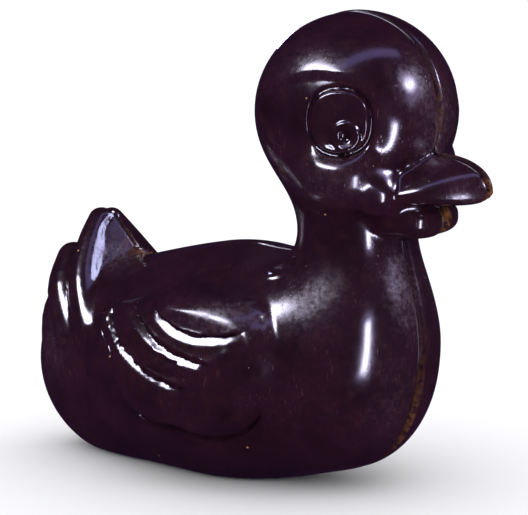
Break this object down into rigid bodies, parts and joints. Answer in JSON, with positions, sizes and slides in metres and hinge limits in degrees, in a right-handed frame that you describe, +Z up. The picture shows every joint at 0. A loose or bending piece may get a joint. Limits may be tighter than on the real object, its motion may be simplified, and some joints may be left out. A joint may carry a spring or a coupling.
{
  "type": "chocolate duck",
  "caption": "Duck figure of dark moulded chocolate, in one piece, with relief wings, a feathered tail, round eyes and a half-open bill, on a flat base.",
  "frame": {"origin": "on the table, under the middle of the duck's box", "axes": "+X towards the bill, +Y to the duck's left, +Z up"},
  "size_m": [0.1271, 0.0638, 0.1077],
  "materials": {
    "chocolate": "dark chocolate, glossy from the mould, with dull bloom patches"
  },
  "bodies": {
    "root": {"duck": "chocolate"}
  },
  "joints": []
}
